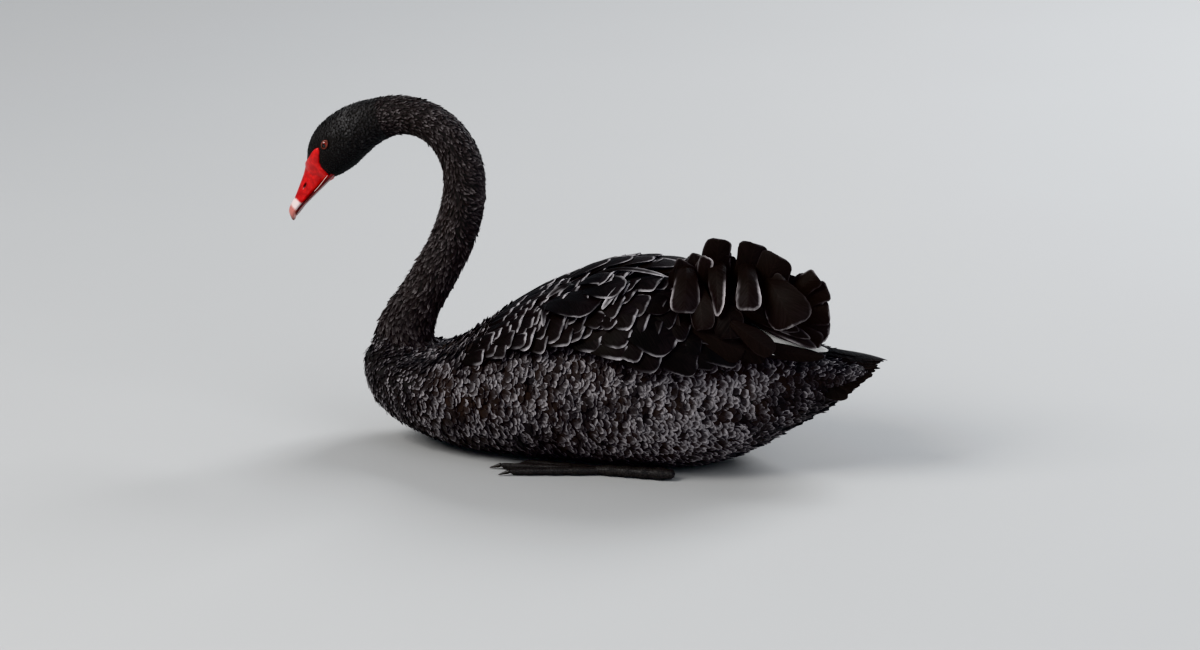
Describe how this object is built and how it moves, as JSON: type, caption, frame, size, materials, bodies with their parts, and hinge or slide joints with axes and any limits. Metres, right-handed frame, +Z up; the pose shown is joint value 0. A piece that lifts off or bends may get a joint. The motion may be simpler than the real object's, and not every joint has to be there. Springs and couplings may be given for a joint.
{
  "type": "black swan",
  "caption": "Still life-size black swan at rest on its belly: arched neck with the bill pointing down, ruffled curled wing feathers, white flight feathers and feet tucked under.",
  "frame": {"origin": "middle of the flat under the belly, on the plane that the bird rests on", "axes": "+X towards the tail, so the bird faces -X; +Y towards its right wing; +Z up"},
  "size_m": [0.7238, 0.2625, 0.4142],
  "materials": {
    "neck_plumage": "close, short, near-black feathers with a faint sheen",
    "body_plumage": "soft rounded grey-brown to black feathers with paler edges",
    "wing_plumage": "broad brown-black feathers with thin pale edges",
    "white_flight": "smooth white flight feathers",
    "red_bill": "waxy bright red horn",
    "bill_band": "waxy pinkish white horn",
    "bill_nail": "pale pink horn",
    "eye": "wet red iris round a black pupil",
    "leg_skin": "black scaled skin and webs"
  },
  "bodies": {
    "root": {"torso": "body_plumage", "neck_base": "neck_plumage", "neck_lower": "neck_plumage", "neck_middle": "neck_plumage", "neck_upper": "neck_plumage", "neck_nape": "neck_plumage", "head": "neck_plumage", "bill_upper": "red_bill", "bill_band": "bill_band", "bill_nail": "bill_nail", "bill_lower": "red_bill", "wing_left": "wing_plumage", "wing_right": "wing_plumage", "flight_left": "white_flight", "flight_right": "white_flight", "tail": "wing_plumage", "leg_left": "leg_skin", "leg_right": "leg_skin", "foot_left": "leg_skin", "foot_right": "leg_skin", "eye_left": "eye", "eye_right": "eye"}
  },
  "joints": []
}
